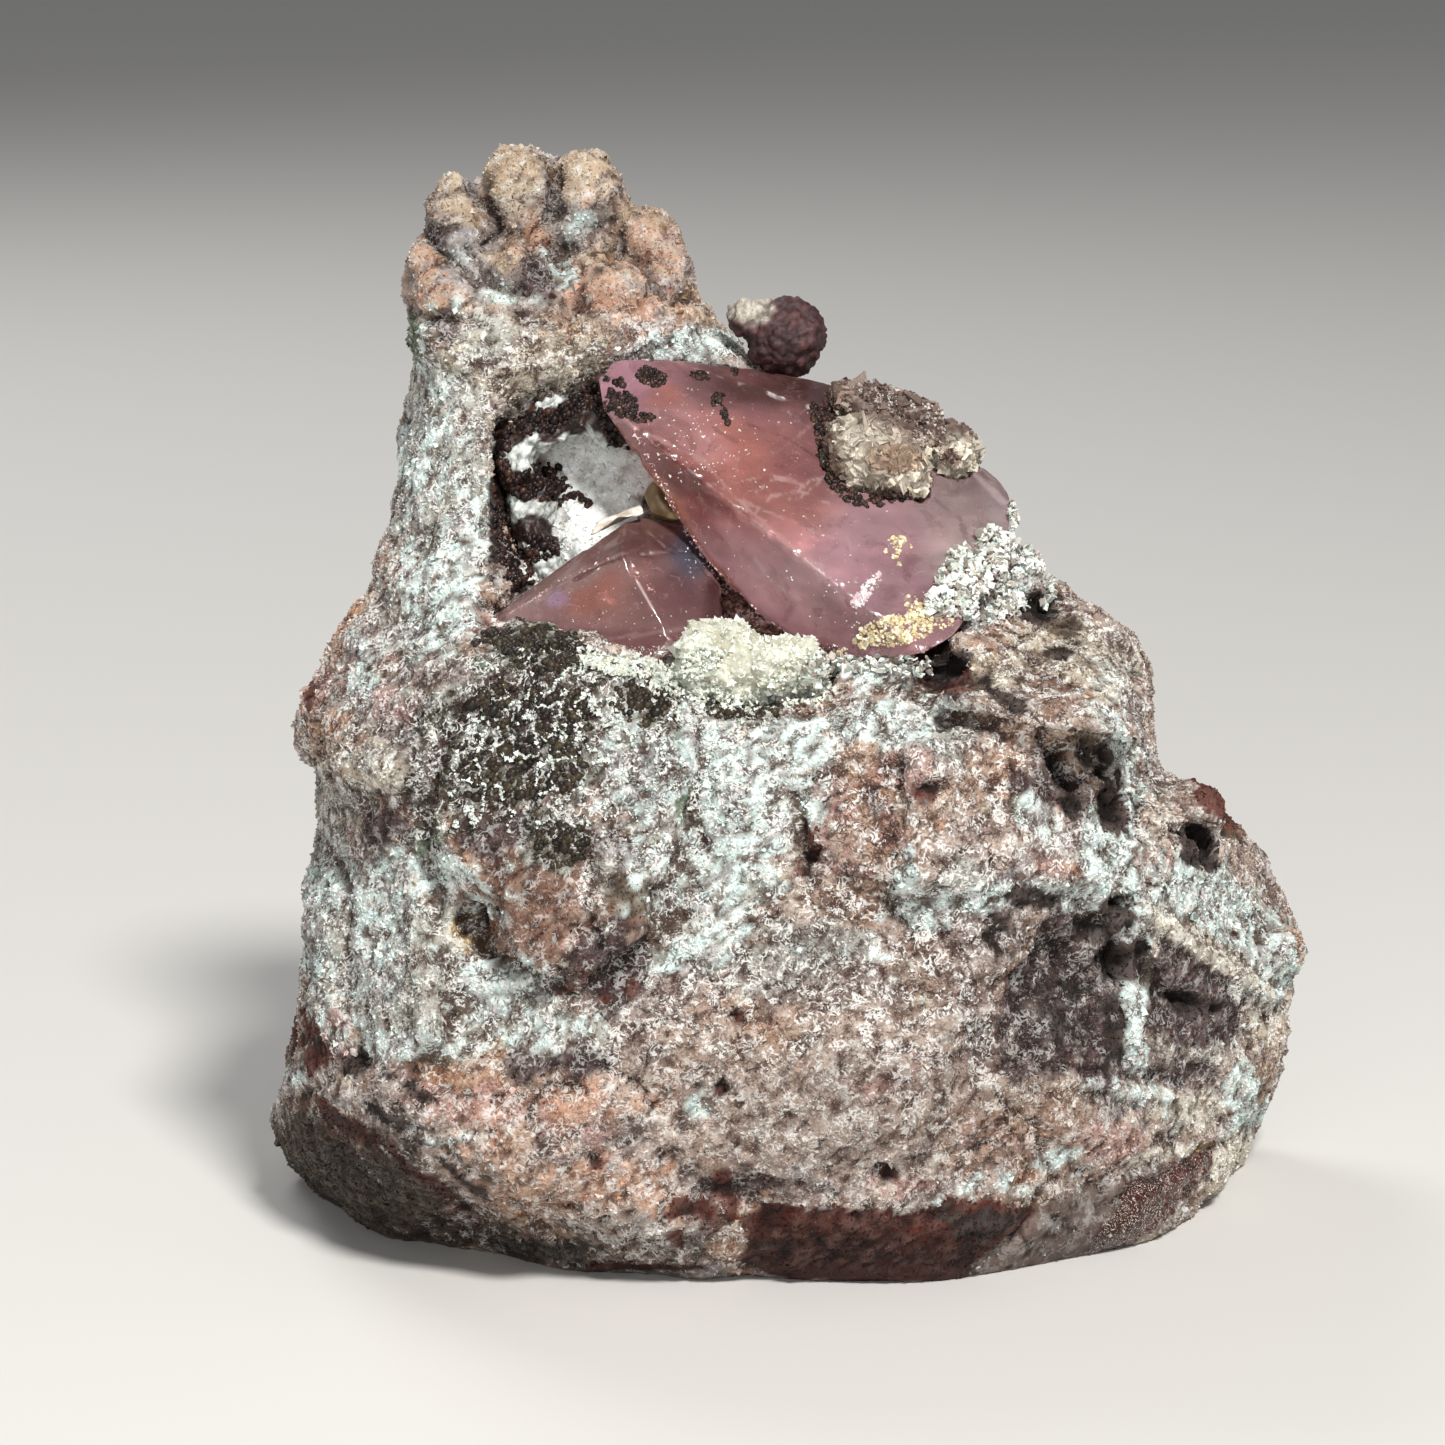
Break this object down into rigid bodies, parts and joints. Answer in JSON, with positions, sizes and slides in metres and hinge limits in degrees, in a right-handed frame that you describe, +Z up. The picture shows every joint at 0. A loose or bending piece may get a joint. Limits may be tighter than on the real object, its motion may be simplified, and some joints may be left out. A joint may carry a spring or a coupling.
{
  "type": "cobaltoan calcite specimen",
  "caption": "Free-standing mineral specimen: pink calcite crystals in an open pocket of granular, altered dolomite, with crusts and beads, on a flat foot.",
  "frame": {"origin": "centre of the specimen's box, on the plane of its flat foot", "axes": "+Z up from the foot, -Y towards the viewer of the display face, +X to the viewer's right"},
  "size_m": [0.066, 0.041, 0.0656],
  "materials": {
    "matrix_rock": "granular, sugary",
    "large_crystal": "vitreous, translucent pink",
    "small_crystal": "vitreous, translucent rose",
    "grey_druse": "drusy, grey-white",
    "cream_calcite": "lumpy, matte",
    "pocket_crust": "beaded, semi-gloss",
    "oxide_nodule": "velvety, dark maroon",
    "tan_crystal": "satin",
    "pale_blade": "pearly"
  },
  "bodies": {
    "root": {"matrix_rock": "matrix_rock", "large_crystal": "large_crystal", "small_crystal": "small_crystal", "grey_druse": "grey_druse", "cream_calcite": "cream_calcite", "pocket_crust": "pocket_crust", "oxide_nodule": "oxide_nodule", "tan_crystal": "tan_crystal", "pale_blade": "pale_blade"}
  },
  "joints": []
}
